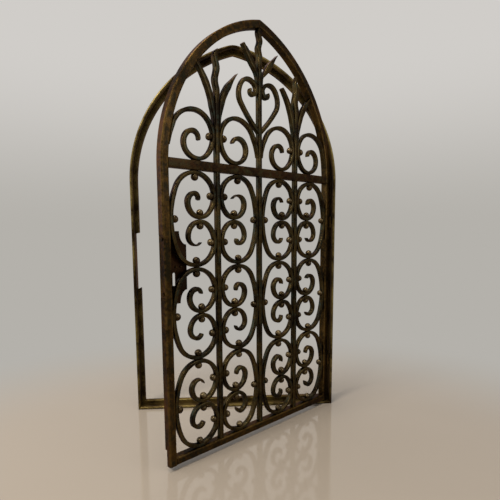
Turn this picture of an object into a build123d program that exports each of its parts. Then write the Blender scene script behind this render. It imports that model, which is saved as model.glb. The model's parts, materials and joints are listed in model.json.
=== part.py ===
from build123d import *
from math import ceil, copysign, cos, degrees, radians, sin, sqrt, tan
import os

os.makedirs("parts", exist_ok=True)

# A pointed-arch window grille: a fixed frame, and an openwork leaf hinged at its right jamb.
# Millimetres. The origin is under the middle of the sill, +X along the sill, +Y towards the back.

# Fixed frame
frame_width = 327.0
spring_height = 371.0  # floor to the line where both arches begin
arch_radius = 213.0  # outside of each half of the frame's arch
frame_depth = 24.0
rim_width = 4.4  # the bead along the front edge
rim_depth = 6.0
wall_width = 3.4  # the thinner wall that the leaf closes against
stop_width = 9.3  # the stop flange, measured from the frame's outside
stop_depth = 7.5
rim_chamfer = 1.3
apex_rounding = 45.0
lock_gap_below = 8.7  # the left jamb's stop is cut away beside the lock, from below its plate
lock_gap_height = 92.0

# Leaf
leaf_gap = 6.5  # from the frame's outside to the leaf's outside, all round but the sill
leaf_floor_gap = 6.0
leaf_recess = 5.0  # from the frame's front to the leaf's front when it is closed
leaf_open = 39.0  # degrees open at rest
border_width = 10.2
border_depth = 11.0
border_chamfer = 1.2
transom_height = 11.3
transom_depth = 9.0
transom_drop = 1.7  # from the spring line down to the transom's underside
bar_width = 6.6
bar_depth = 7.5
bar_spacing = 74.1

# Scrollwork: flat strip on edge, bent in short flats as a smith leaves it
strip_thickness = 4.2
strip_depth = 7.0
strip_setback = 4.3  # from the leaf's front to the middle of the scrollwork's depth
flat_rise = 0.5  # how far the middle of a flat lies from the true curve
tip_thickness = 2.8
tip_taper = 14.0
root_thickness = 1.2  # where a strip's foot is drawn out thin against a bar
root_taper = 26.0
seat = 0.05  # a hair's clearance where a piece bears on another
row_count = 3
half_turn = 45.0  # most quarter bends are two bends of this many degrees

# Lower scrolls, measured from the face of the bar that both volutes touch and from the row's middle
crown_x = 31.2  # where a scroll's top touches the next
bar_touch_y = 28.8
volute_touch_x = 24.5  # where a scroll's two volutes touch
volute_radius = 18.5
volute_top_radius = 11.5
volute_tip_radius = 7.0
shoulder_turn = 25.0  # the slow bend from a scroll's side towards its crown
volute_turn = 90.0
volute_top_turn = 80.0
tip_turns = [110, 80, 125]  # how far the tips curl in, by turns

# Standing scrolls above the transom, measured from the bar's face and the transom's top
stand_crown_x = 30.0
stand_crown_y = 62.0  # of an inner scroll
stand_touch_y = 31.0
stand_foot_x = 26.8
stand_reach_x = 46.8
stand_reach_y = 20.5
stand_top_x = 32.8
stand_top_y = 35.4
stand_tail_y = 14.0  # where an inner scroll's tail meets the middle bar
stand_end_lean = 15.0  # where an outer scroll ends on the arch, in degrees round it
stand_end_turn = 15.0  # the slow bend from the arch towards an outer scroll's crown
stand_end_slope = 32.15  # of the line from the arch up to an outer scroll's crown
stand_tip_turn = 110.0
stand_tip_radius = 8.0

# Heart on the middle bar, measured from the bar's face and the transom's top
heart_foot_x = 3.6
heart_foot_y = 51.5
heart_foot_heading = 42.0
heart_foot_run = 7.0  # straight on from the foot, until the bar's face cuts it off
heart_first_turn = 12.0
heart_reach_x = 33.6
heart_reach_y = 92.0
heart_top_x = 16.5
heart_top_y = 113.5
heart_neck_y = 102.4
heart_curl_x = 9.6
heart_curl_y = 94.3
heart_tip_radius = 4.4
heart_tip_turn = 130.0

# Finials: each bar ends in three prongs, and the middle one is the bar itself, beaten wider
side_prong_rise = 55.4  # from the transom's top to the foot of the prongs on the two side bars
side_prong_height = 59.0
side_prong_root = 14.5  # how far its thin root runs down the bar
middle_prong_rise = 116.5
middle_prong_height = 38.5
middle_prong_root = 7.5
square_prong_reach = 24.0
pointed_prong_reach = 28.5
prong_thickness = 4.6
prong_first_turn = 34.0
prong_second_turn = 8.0
prong_point = 0.9
prong_taper = 26.0
blade_width = 7.6
blade_start = 22.0  # from the foot of the side prongs to where the middle one widens
blade_sway = 1.5
blade_waves = 4
blade_gap = 6.0  # a side bar ends free, this far below the arch
blade_slant = 3.5

# Ball-headed rivets, seated on the strips
head_radius = 4.0
head_seat_radius = 2.4
head_sides = 6
head_height = 7.2

# Lock plate on the back of the free stile
plate_thickness = 2.2
plate_bottom = 207.7
plate_height = 88.6
plate_edge = 4.5  # from the leaf's outside to the plate
plate_width = 34.0
plate_corner_width = 10.0
plate_corner_height = 16.4
slot_width = 4.6
slot_height = 14.0
slot_rise = 22.3  # from the plate's bottom
slot_edge = 20.0  # from the leaf's outside to the middle of the slot
stud_radius = 1.3
stud_height = 1.6
stud_sides = 8
stud_rise = 45.3  # from the plate's bottom
stud_edge = 22.5
stud_pitch = 7.0

# Screws in the free stile's outer edge, in a shallow rebate
edge_recess = 0.9
edge_screw_radius = 2.2
edge_screw_height = 0.8
edge_screw_rise = 14.3  # from the plate's bottom to the lower screw
edge_screw_pitch = 65.0
edge_screw_margin = 5.0
foot_notch_height = 21.0
foot_notch_width = 3.0
foot_notch_depth = 4.0

# Hinges: a pin on a lug of the jamb, and a knuckle let into the leaf's corner
hinge_low = 70.0
hinge_high = 300.0
hinge_side = 1.0  # from the leaf's outer side in to the hinge axis
hinge_front = 1.0  # from the leaf's front out to the hinge axis
pin_radius = 1.3
pin_clearance = 0.06
knuckle_radius = 2.5
knuckle_height = 12.0
knuckle_sides = 10
lug_height = 5.0
lug_neck = 4.0
hinge_play = 0.3

# Worked out from the sizes above
half_frame = frame_width / 2
front = -frame_depth / 2
arch_centre = arch_radius - half_frame
stop_front = frame_depth - stop_depth
leaf_width = frame_width - 2 * leaf_gap
leaf_radius = arch_radius - leaf_gap
leaf_inside = leaf_radius - border_width
half_leaf = leaf_width / 2
rail_top = leaf_floor_gap + border_width
transom_bottom = spring_height - transom_drop
transom_top = transom_bottom + transom_height
row_height = (transom_bottom - rail_top) / row_count
hinge_x = half_frame - leaf_gap - hinge_side
hinge_y = front + leaf_recess - hinge_front
leaf_left = hinge_side - leaf_width
leaf_middle = hinge_side - half_leaf
leaf_front = -hinge_front
leaf_back = leaf_front - border_depth
strip_middle = leaf_front - strip_setback
half_strip = strip_thickness / 2
inner_width = bar_spacing - bar_width
outer_width = half_leaf - border_width - bar_spacing - bar_width / 2
left_bar = leaf_middle - bar_spacing
right_bar = leaf_middle + bar_spacing
bar_arch_side = bar_spacing + leaf_radius - half_leaf  # from an arch's own centre across to a side bar
side_bar_top = spring_height + sqrt(leaf_inside**2 - bar_arch_side**2) - blade_gap
lock_gap_bottom = plate_bottom - lock_gap_below
slot_bottom = plate_bottom + slot_rise
stud_place = plate_bottom + stud_rise
edge_screw_low = plate_bottom + edge_screw_rise
edge_screw_high = edge_screw_low + edge_screw_pitch

# The leaf's own plane: X to its hinge side, Y up, Z out of its front, with its origin on the hinge axis.
leaf = Plane(
    origin=(hinge_x, hinge_y, 0),
    x_dir=(cos(radians(leaf_open)), sin(radians(leaf_open)), 0),
    z_dir=(sin(radians(leaf_open)), -cos(radians(leaf_open)), 0),
)
strip_plane = leaf.offset(strip_middle - strip_depth / 2)
bar_plane = leaf.offset(strip_middle - bar_depth / 2)


def leaf_point(x, y, z):
    return leaf.from_local_coords((x, y, z))


def leaf_section_plane(x, y):
    # A level plane in the leaf: X to its hinge side and Y towards its back, from its front.
    return Plane(origin=leaf_point(x, y, leaf_front), x_dir=leaf.x_dir, z_dir=(0, 0, 1))


# Fixed frame


def frame_section():
    # The moulding's outline: X towards the opening and Y towards the back, from the outer front corner.
    with BuildSketch(mode=Mode.PRIVATE) as section:
        with BuildLine():
            Polyline(
                (0, 0),
                (rim_width, 0),
                (rim_width, rim_depth),
                (wall_width, rim_depth),
                (wall_width, stop_front),
                (stop_width, stop_front),
                (stop_width, frame_depth),
                (0, frame_depth),
                close=True,
            )
        make_face()
        chamfer(section.vertices().group_by(Axis.Y)[0], rim_chamfer)
    return section.sketch


def pointed_arch(radius, half_width, rounding):
    # The outline of a pointed arch on its spring line.
    rise = sqrt(radius**2 - (radius - half_width) ** 2)
    with BuildSketch(mode=Mode.PRIVATE) as outline:
        with BuildLine():
            Line((half_width, 0), (-half_width, 0))
            RadiusArc((-half_width, 0), (0, rise), radius)
            RadiusArc((0, rise), (half_width, 0), radius)
        make_face()
        if rounding > 0:
            fillet(outline.vertices().sort_by(Axis.Y)[-1], rounding)
    return outline.sketch


left_corner = Plane(origin=(-half_frame, 0, 0), z_dir=(-1, 0, 1))
right_corner = Plane(origin=(half_frame, 0, 0), z_dir=(1, 0, 1))

with BuildPart() as left_jamb:
    with BuildSketch(Plane(origin=(-half_frame, front, 0))):
        add(frame_section())
    extrude(amount=spring_height)
    split(bisect_by=left_corner, keep=Keep.TOP)
    with BuildSketch(Plane(origin=(-half_frame + wall_width, front + stop_front, lock_gap_bottom))):
        Rectangle(stop_width - wall_width, stop_depth, align=(Align.MIN, Align.MIN))
    extrude(amount=lock_gap_height, mode=Mode.SUBTRACT)
left_jamb.part.label = "left_jamb"
export_step(left_jamb.part, "parts/left_jamb.step")

with BuildPart() as right_jamb:
    with BuildSketch(Plane(origin=(half_frame, front, 0))):
        mirror(frame_section(), about=Plane.YZ)
    extrude(amount=spring_height)
    split(bisect_by=right_corner, keep=Keep.TOP)
right_jamb.part.label = "right_jamb"
export_step(right_jamb.part, "parts/right_jamb.step")

with BuildPart() as sill:
    with BuildSketch(Plane(origin=(-half_frame, front, 0), x_dir=(0, 0, 1), z_dir=(-1, 0, 0))):
        add(frame_section())
    extrude(amount=-frame_width)
    split(bisect_by=left_corner, keep=Keep.BOTTOM)
    split(bisect_by=right_corner, keep=Keep.BOTTOM)
sill.part.label = "sill"
export_step(sill.part, "parts/sill.step")

# Both halves of the frame's arch are turned about their own centres, mitred at the apex and rounded outside.
for side, name in ((-1, "left_arch"), (1, "right_arch")):
    with BuildPart() as arch:
        with BuildSketch(Plane(origin=(side * half_frame, front, spring_height))):
            if side < 0:
                add(frame_section())
            else:
                mirror(frame_section(), about=Plane.YZ)
        centre_line = Axis((-side * arch_centre, 0, spring_height), (0, -side, 0))
        revolve(axis=centre_line, revolution_arc=90)
        split(bisect_by=Plane.YZ, keep=Keep.TOP if side > 0 else Keep.BOTTOM)
        with BuildSketch(Plane(origin=(0, frame_depth, spring_height), x_dir=(1, 0, 0), z_dir=(0, -1, 0))):
            add(pointed_arch(arch_radius, half_frame, apex_rounding))
        extrude(amount=2 * frame_depth, mode=Mode.INTERSECT)
    arch.part.label = name
    export_step(arch.part, f"parts/{name}.step")

# Hinges: both pintles stand on the right jamb, and both knuckles turn on their pins
hinge_feet = [Plane(origin=(hinge_x, hinge_y, height)) for height in (hinge_low, hinge_high)]

with BuildPart() as pintles:
    with BuildSketch(*hinge_feet):
        Circle(knuckle_radius - hinge_play)
        Rectangle(half_frame - rim_width - seat - hinge_x, lug_neck, align=(Align.MIN, Align.CENTER))
    extrude(amount=lug_height)
    with BuildSketch(*hinge_feet):
        Circle(pin_radius)
    extrude(amount=lug_height + 2 * hinge_play + knuckle_height)
pintles.part.label = "pintles"
export_step(pintles.part, "parts/pintles.step")

with BuildPart() as knuckles:
    with BuildSketch(*[foot.offset(lug_height + hinge_play) for foot in hinge_feet]):
        RegularPolygon(knuckle_radius, knuckle_sides)
        Circle(pin_radius + pin_clearance, mode=Mode.SUBTRACT)
    extrude(amount=knuckle_height)
knuckles.part.label = "knuckles"
export_step(knuckles.part, "parts/knuckles.step")


# Border of the leaf


def border_section():
    # The border's outline: X across it and Y towards the back, with both front edges bevelled.
    with BuildSketch(mode=Mode.PRIVATE) as section:
        Rectangle(border_width, border_depth, align=(Align.MIN, Align.MIN))
        chamfer(section.vertices().group_by(Axis.Y)[0], border_chamfer)
    return section.sketch


def arch_opening():
    # The inside of the leaf's border from well below the spring line up, for trimming what runs up to it.
    rise = sqrt(leaf_inside**2 - (leaf_inside - half_leaf + border_width) ** 2)
    half_inside = half_leaf - border_width
    with BuildSketch(mode=Mode.PRIVATE) as opening:
        with BuildLine():
            Line((-half_inside, 0), (-half_inside, -spring_height))
            Line((-half_inside, -spring_height), (half_inside, -spring_height))
            Line((half_inside, -spring_height), (half_inside, 0))
            RadiusArc((-half_inside, 0), (0, rise), leaf_inside)
            RadiusArc((0, rise), (half_inside, 0), leaf_inside)
        make_face()
        offset(amount=-seat)
    return opening.sketch


with BuildPart() as free_stile:
    with BuildSketch(leaf_section_plane(leaf_left, leaf_floor_gap)):
        add(border_section())
    extrude(amount=spring_height - leaf_floor_gap)
    with BuildSketch(leaf_section_plane(leaf_left, edge_screw_low - edge_screw_margin)):
        Rectangle(edge_recess, border_depth, align=(Align.MIN, Align.MIN))
    extrude(amount=edge_screw_pitch + 2 * edge_screw_margin, mode=Mode.SUBTRACT)
    with BuildSketch(leaf_section_plane(leaf_left, leaf_floor_gap)):
        with Locations((0, border_depth)):
            Rectangle(foot_notch_width, foot_notch_depth, align=(Align.MIN, Align.MAX))
    extrude(amount=foot_notch_height, mode=Mode.SUBTRACT)
free_stile.part.label = "free_stile"
export_step(free_stile.part, "parts/free_stile.step")

with BuildPart() as hinge_stile:
    with BuildSketch(leaf_section_plane(hinge_side - border_width, leaf_floor_gap)):
        add(border_section())
    extrude(amount=spring_height - leaf_floor_gap)
    for height in (hinge_low, hinge_high):
        with BuildSketch(Plane(origin=(hinge_x, hinge_y, height - hinge_play))):
            Circle(knuckle_radius + seat)
        extrude(amount=lug_height + 4 * hinge_play + knuckle_height, mode=Mode.SUBTRACT)
hinge_stile.part.label = "hinge_stile"
export_step(hinge_stile.part, "parts/hinge_stile.step")

leaf_apex = Plane(origin=leaf_point(leaf_middle, 0, 0), z_dir=leaf.x_dir)
for side, name in ((-1, "leaf_left_arch"), (1, "leaf_right_arch")):
    start = leaf_left if side < 0 else hinge_side - border_width
    centre = leaf_middle - side * (leaf_radius - half_leaf)
    with BuildPart() as leaf_arch:
        with BuildSketch(leaf_section_plane(start, spring_height)):
            add(border_section())
        revolve(axis=Axis(leaf_point(centre, spring_height, 0), leaf.z_dir * side), revolution_arc=90)
        split(bisect_by=leaf_apex, keep=Keep.TOP if side > 0 else Keep.BOTTOM)
    leaf_arch.part.label = name
    export_step(leaf_arch.part, f"parts/{name}.step")

with BuildPart() as bottom_rail:
    rail_start = Plane(
        origin=leaf_point(leaf_left + border_width, leaf_floor_gap, leaf_front),
        x_dir=(0, 0, 1),
        z_dir=-leaf.x_dir,
    )
    with BuildSketch(rail_start):
        add(border_section())
    extrude(amount=2 * border_width - leaf_width)
bottom_rail.part.label = "bottom_rail"
export_step(bottom_rail.part, "parts/bottom_rail.step")

with BuildPart() as transom:
    with BuildSketch(leaf.offset(leaf_front)):
        with Locations((leaf_middle, transom_bottom)):
            Rectangle(leaf_width, transom_height, align=(Align.CENTER, Align.MIN))
        with Locations((leaf_middle, spring_height)):
            add(arch_opening(), mode=Mode.INTERSECT)
    extrude(amount=-transom_depth)
    with BuildSketch(bar_plane):
        with Locations((left_bar, transom_bottom), (leaf_middle, transom_bottom), (right_bar, transom_bottom)):
            Rectangle(bar_width + 2 * seat, transom_height, align=(Align.CENTER, Align.MIN))
    extrude(amount=bar_depth + seat, mode=Mode.SUBTRACT)
transom.part.label = "transom"
export_step(transom.part, "parts/transom.step")


# Bent strip


def bends_between(start, end, heading, first, second):
    # Radii of two bends, with the turns given, that leave start along heading and arrive at end.
    def reach(angle, turn):
        way = copysign(1, turn)
        from_angle = radians(angle)
        to_angle = radians(angle + turn)
        return way * (sin(to_angle) - sin(from_angle)), way * (cos(from_angle) - cos(to_angle))

    ax, ay = reach(heading, first)
    bx, by = reach(heading + first, second)
    across = end[0] - start[0]
    along = end[1] - start[1]
    scale = ax * by - ay * bx
    return [((across * by - along * bx) / scale, first), ((ax * along - ay * across) / scale, second)]


def bent(start, heading, bends):
    # Corners of a strip's middle line. Each bend is a run of flats that touch the true curve.
    x, y = start
    angle = radians(heading)
    corners = [start]
    for radius, turn in bends:
        widest = 2 * degrees(sqrt(2 * flat_rise / radius))
        count = ceil(abs(turn) / widest)
        step = radians(turn) / count
        half_flat = radius * tan(abs(step) / 2)
        for _ in range(count):
            corners.append((x + half_flat * cos(angle), y + half_flat * sin(angle)))
            angle += step
            x = corners[-1][0] + half_flat * cos(angle)
            y = corners[-1][1] + half_flat * sin(angle)
    corners.append((x, y))
    return corners


def strip_outline(corners, thickness=strip_thickness, tip=tip_thickness, taper=tip_taper, start=None, root=0):
    # Both faces of a strip round its middle line, mitred at each corner and thinned towards its tips.
    # A start thins its first end too. A root draws it out thin on one side only: 1 left, -1 right.
    points = [Vector(*corner) for corner in corners]
    lengths = [(b - a).length for a, b in zip(points, points[1:])]
    upper = []
    lower = []
    for index, point in enumerate(points):
        before = (point - points[index - 1]).normalized() if index > 0 else (points[1] - point).normalized()
        after = (points[index + 1] - point).normalized() if index < len(lengths) else before
        done = sum(lengths[:index])
        left_over = sum(lengths[index:])
        thinned = (thickness - tip) * max(0, 1 - left_over / taper) / 2
        if start is not None:
            thinned += (thickness - start) * max(0, 1 - done / taper) / 2
        drawn = abs(root) * (thickness - root_thickness) * max(0, 1 - done / root_taper)
        middle = (before + after).normalized()
        left_half = (thickness / 2 - thinned - (drawn if root > 0 else 0)) / middle.dot(before)
        right_half = (thickness / 2 - thinned - (drawn if root < 0 else 0)) / middle.dot(before)
        upper.append((point.X - middle.Y * left_half, point.Y + middle.X * left_half))
        lower.append((point.X + middle.Y * right_half, point.Y - middle.X * right_half))
    return upper + lower[::-1]


def beside(points, bar, side, height):
    # Points measured from a bar's face, moved into the leaf's plane.
    return [(bar + side * (bar_width / 2 + x), height + y) for x, y in points]


# Bars and finials


def blade_outline(place, foot, top, slant):
    # A bar from the bottom rail to its top, swaying where it is beaten out above foot.
    wave = (top - foot) / blade_waves
    left = [(place - bar_width / 2, rail_top + seat), (place - bar_width / 2, foot)]
    right = [(place + bar_width / 2, rail_top + seat), (place + bar_width / 2, foot)]
    for turn in range(1, blade_waves + 1):
        sway = blade_sway * sin(radians(180 * turn - 90))
        left.append((place + sway - blade_width / 2, foot + turn * wave))
        right.append((place + sway + blade_width / 2, foot + turn * wave))
    left[-1] = (left[-1][0], top - slant)
    return left + right[::-1]


def side_prong(reach, height, tip, root_length):
    # A side prong from its thin root on the bar's face, bent outwards.
    foot = (seat + prong_thickness / 2, 0)
    tip_place = (foot[0] + reach, height)
    bends = bends_between(foot, tip_place, 90, -prong_first_turn, -prong_second_turn)
    corners = [(foot[0], -root_length)] + bent(foot, 90, bends)
    return strip_outline(corners, prong_thickness, tip, prong_taper, root=-1)


crotch_rise = {left_bar: side_prong_rise, leaf_middle: middle_prong_rise, right_bar: side_prong_rise}
prongs = ((-1, square_prong_reach, prong_thickness), (1, pointed_prong_reach, prong_point))
prong_height = {left_bar: side_prong_height, leaf_middle: middle_prong_height, right_bar: side_prong_height}
prong_root = {left_bar: side_prong_root, leaf_middle: middle_prong_root, right_bar: side_prong_root}
bar_top = {left_bar: side_bar_top, leaf_middle: spring_height + leaf_radius, right_bar: side_bar_top}
bar_slant = {left_bar: blade_slant, leaf_middle: 0, right_bar: blade_slant}

for name, place in (("left", left_bar), ("middle", leaf_middle), ("right", right_bar)):
    foot = transom_top + crotch_rise[place]
    with BuildPart() as bar:
        with BuildSketch(bar_plane):
            with BuildLine():
                Polyline(*blade_outline(place, foot + blade_start, bar_top[place], bar_slant[place]), close=True)
            make_face()
            with Locations((leaf_middle, spring_height)):
                add(arch_opening(), mode=Mode.INTERSECT)
        extrude(amount=bar_depth)
    bar.part.label = f"{name}_bar"
    export_step(bar.part, f"parts/{name}_bar.step")

    with BuildPart() as finial:
        with BuildSketch(strip_plane):
            for side, reach, tip in prongs:
                outline = side_prong(reach, prong_height[place], tip, prong_root[place])
                with BuildLine():
                    Polyline(*beside(outline, place, side, foot), close=True)
                make_face()
            with Locations((leaf_middle, spring_height)):
                add(arch_opening(), mode=Mode.INTERSECT)
        extrude(amount=strip_depth)
    finial.part.label = f"{name}_finial"
    export_step(finial.part, f"parts/{name}_finial.step")


# Scrolls of the lower panel


def double_scroll(width, tip_turn):
    # A scroll whose two ends curl back into volutes on the bar, symmetrical about the row's middle.
    side = (width - seat - half_strip, 0)
    crown = (crown_x, row_height / 2 - seat / 2 - half_strip)
    bar_touch = (seat + half_strip, bar_touch_y)
    volute_touch = (volute_touch_x, seat / 2 + half_strip)
    bends = bends_between(side, crown, 90, shoulder_turn, 90 - shoulder_turn)
    bends += bends_between(crown, bar_touch, 180, half_turn, half_turn)
    bends += bends_between(bar_touch, volute_touch, 270, half_turn, half_turn)
    bends += [(volute_radius, volute_turn), (volute_top_radius, volute_top_turn)]
    bends += [(volute_tip_radius, tip_turn)]
    upper = bent(side, 90, bends)[1:]
    lower = [(x, -y) for x, y in upper]
    return strip_outline(lower[::-1] + upper, start=tip_thickness)


columns = [(left_bar, -1, outer_width), (left_bar, 1, inner_width)]
columns += [(right_bar, -1, inner_width), (right_bar, 1, outer_width)]

for row in range(row_count):
    row_middle = rail_top + (row + 0.5) * row_height
    for number, (bar_place, side, width) in enumerate(columns):
        outline = double_scroll(width, tip_turns[(row + number) % len(tip_turns)])
        with BuildPart() as scroll:
            with BuildSketch(strip_plane):
                with BuildLine():
                    Polyline(*beside(outline, bar_place, side, row_middle), close=True)
                make_face()
            extrude(amount=strip_depth)
        scroll.part.label = f"scroll_row{row + 1}_column{number + 1}"
        export_step(scroll.part, f"parts/{scroll.part.label}.step")


# Scrolls above the transom


def standing_scroll(start, heading, first_turn, crown, root):
    # A scroll from its tail over its crown, down the bar, along the transom and up into its volute.
    bar_touch = (seat + half_strip, stand_touch_y)
    foot = (stand_foot_x, seat + half_strip)
    reach = (stand_reach_x, stand_reach_y)
    top = (stand_top_x, stand_top_y)
    bends = bends_between(start, crown, heading, first_turn, 180 - heading - first_turn)
    bends += bends_between(crown, bar_touch, 180, half_turn, half_turn)
    bends += bends_between(bar_touch, foot, 270, half_turn, half_turn)
    bends += bends_between(foot, reach, 0, half_turn, half_turn)
    bends += bends_between(reach, top, 90, half_turn, half_turn)
    bends += [(stand_tip_radius, stand_tip_turn)]
    return strip_outline(bent(start, heading, bends), root=root)


# An outer scroll ends against the arch, and an inner one runs down the middle bar.
end_radius = leaf_inside - seat - half_strip
outer_start = (
    outer_width - leaf_inside + end_radius * cos(radians(stand_end_lean)),
    spring_height - transom_top + end_radius * sin(radians(stand_end_lean)),
)
outer_rise = (outer_start[0] - stand_crown_x) * tan(radians(stand_end_slope))
outer_crown = (stand_crown_x, outer_start[1] + outer_rise)
inner_start = (inner_width - seat - half_strip, stand_tail_y)
inner_crown = (stand_crown_x, stand_crown_y - half_strip)
outer_stand = standing_scroll(outer_start, 90 + stand_end_lean, stand_end_turn, outer_crown, 0)
inner_stand = standing_scroll(inner_start, 90, shoulder_turn, inner_crown, 1)

for number, (bar_place, side, width) in enumerate(columns):
    outline = outer_stand if width == outer_width else inner_stand
    with BuildPart() as scroll:
        with BuildSketch(strip_plane):
            with BuildLine():
                Polyline(*beside(outline, bar_place, side, transom_top), close=True)
            make_face()
        extrude(amount=strip_depth)
    scroll.part.label = f"standing_scroll_{number + 1}"
    export_step(scroll.part, f"parts/{scroll.part.label}.step")

# Heart on the middle bar
heart_foot = (heart_foot_x, heart_foot_y)
heart_reach = (heart_reach_x, heart_reach_y)
heart_top = (heart_top_x, heart_top_y)
heart_neck = (seat + half_strip, heart_neck_y)
heart_curl = (heart_curl_x, heart_curl_y)
heart_turn = 90 - heart_foot_heading
heart_bends = bends_between(
    heart_foot, heart_reach, heart_foot_heading, heart_first_turn, heart_turn - heart_first_turn
)
heart_bends += bends_between(heart_reach, heart_top, 90, half_turn, half_turn)
heart_bends += bends_between(heart_top, heart_neck, 180, half_turn, half_turn)
heart_bends += bends_between(heart_neck, heart_curl, 270, half_turn, half_turn)
heart_bends += [(heart_tip_radius, heart_tip_turn)]
heart_run = (
    heart_foot_x - heart_foot_run * cos(radians(heart_foot_heading)),
    heart_foot_y - heart_foot_run * sin(radians(heart_foot_heading)),
)
heart_outline = strip_outline([heart_run] + bent(heart_foot, heart_foot_heading, heart_bends))

for side, name in ((-1, "heart_left"), (1, "heart_right")):
    with BuildPart() as heart:
        with BuildSketch(strip_plane):
            with BuildLine():
                Polyline(*beside(heart_outline, leaf_middle, side, transom_top), close=True)
            make_face()
            with Locations((leaf_middle, transom_top)):
                Rectangle(bar_width + 2 * seat, leaf_radius, align=(Align.CENTER, Align.MIN), mode=Mode.SUBTRACT)
        extrude(amount=strip_depth)
    heart.part.label = name
    export_step(heart.part, f"parts/{name}.step")

# Ball-headed rivets
head_apothem = head_radius * cos(radians(180 / head_sides))
head_inset = (head_radius - head_seat_radius) * cos(radians(180 / head_sides))
with BuildPart() as ball_head:
    Box(3 * head_radius, 3 * head_radius, head_height, align=(Align.CENTER, Align.CENTER, Align.MIN))
    for number in range(head_sides):
        side_angle = 360 * number / head_sides
        for rise in (head_height - head_radius, -head_radius):
            middle = Vector(head_apothem, 0, head_radius).rotate(Axis.Z, side_angle)
            outwards = Vector(abs(rise), 0, copysign(head_inset, rise)).rotate(Axis.Z, side_angle)
            split(bisect_by=Plane(origin=middle, z_dir=outwards), keep=Keep.BOTTOM)


def head_place(bar_place, side, x, y, heading):
    # Where a head sits on a strip, with its axis in the leaf's plane along heading.
    turned = heading if side > 0 else 180 - heading
    seat_point = Location((bar_place + side * (bar_width / 2 + x), y, strip_middle), (0, 0, turned))
    return leaf.location * seat_point * Location((0, 0, 0), (0, 90, 0))


strip_face = seat + strip_thickness
rivets = {
    "left_bar_rivets": [],
    "right_bar_rivets": [],
    "middle_bar_rivets": [],
    "stile_rivets": [],
    "volute_rivets": [],
    "joint_rivets": [],
    "rail_rivets": [],
    "transom_rivets": [],
    "arch_rivets": [],
}
for bar_place, side, width in columns:
    bar_rivets = rivets["left_bar_rivets" if bar_place == left_bar else "right_bar_rivets"]
    side_rivets = rivets["middle_bar_rivets" if width == inner_width else "stile_rivets"]
    for row in range(row_count):
        middle = rail_top + (row + 0.5) * row_height
        side_rivets.append(head_place(bar_place, side, width - strip_face, middle, 180))
        for way in (-1, 1):
            bar_rivets.append(head_place(bar_place, side, strip_face, middle + way * bar_touch_y, 0))
            volute_place = middle + way * (seat / 2 + strip_thickness)
            rivets["volute_rivets"].append(head_place(bar_place, side, volute_touch_x, volute_place, way * 90))
            joint = "joint_rivets"
            if way < 0 and row == 0:
                joint = "rail_rivets"
            if way > 0 and row == row_count - 1:
                joint = "transom_rivets"
            joint_place = middle + way * (row_height / 2 - seat / 2 - strip_thickness)
            rivets[joint].append(head_place(bar_place, side, crown_x, joint_place, -way * 90))
    rivets["arch_rivets"].append(head_place(bar_place, side, strip_face, transom_top + stand_touch_y, 0))

for name, places in rivets.items():
    with BuildPart() as rivet_group:
        with Locations(*places):
            add(ball_head.part)
    rivet_group.part.label = name
    export_step(rivet_group.part, f"parts/{name}.step")

# Lock plate, with both its inner corners cut hollow, a round-topped slot and two studs
plate_left = leaf_left + plate_edge
plate_right = plate_left + plate_width
plate_top = plate_bottom + plate_height
with BuildPart() as lock_plate:
    with BuildSketch(leaf.offset(leaf_back)):
        with Locations((plate_left, plate_bottom)):
            Rectangle(plate_width, plate_height, align=(Align.MIN, Align.MIN))
        with Locations((plate_right, plate_bottom), (plate_right, plate_top)):
            Ellipse(plate_corner_width, plate_corner_height, mode=Mode.SUBTRACT)
        with Locations((leaf_left + slot_edge, slot_bottom)):
            Rectangle(slot_width, slot_height, align=(Align.CENTER, Align.MIN), mode=Mode.SUBTRACT)
        with Locations((leaf_left + slot_edge, slot_bottom + slot_height)):
            Circle(slot_width / 2, mode=Mode.SUBTRACT)
    extrude(amount=-plate_thickness)
lock_plate.part.label = "lock_plate"
export_step(lock_plate.part, "parts/lock_plate.step")

with BuildPart() as lock_studs:
    with BuildSketch(leaf.offset(leaf_back)):
        with Locations((leaf_left + stud_edge, stud_place), (leaf_left + stud_edge + stud_pitch, stud_place)):
            RegularPolygon(stud_radius, stud_sides)
    extrude(amount=stud_height)
lock_studs.part.label = "lock_studs"
export_step(lock_studs.part, "parts/lock_studs.step")

edge_plane = Plane(
    origin=leaf_point(leaf_left + edge_recess, 0, (leaf_front + leaf_back) / 2),
    x_dir=leaf.z_dir,
    z_dir=-leaf.x_dir,
)
with BuildPart() as edge_screws:
    with BuildSketch(edge_plane):
        with Locations((0, edge_screw_low), (0, edge_screw_high)):
            RegularPolygon(edge_screw_radius, stud_sides)
    extrude(amount=edge_screw_height)
edge_screws.part.label = "edge_screws"
export_step(edge_screws.part, "parts/edge_screws.step")
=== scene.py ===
import bmesh
import bpy
import json
import math
import random
from mathutils import Matrix, Vector


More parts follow.
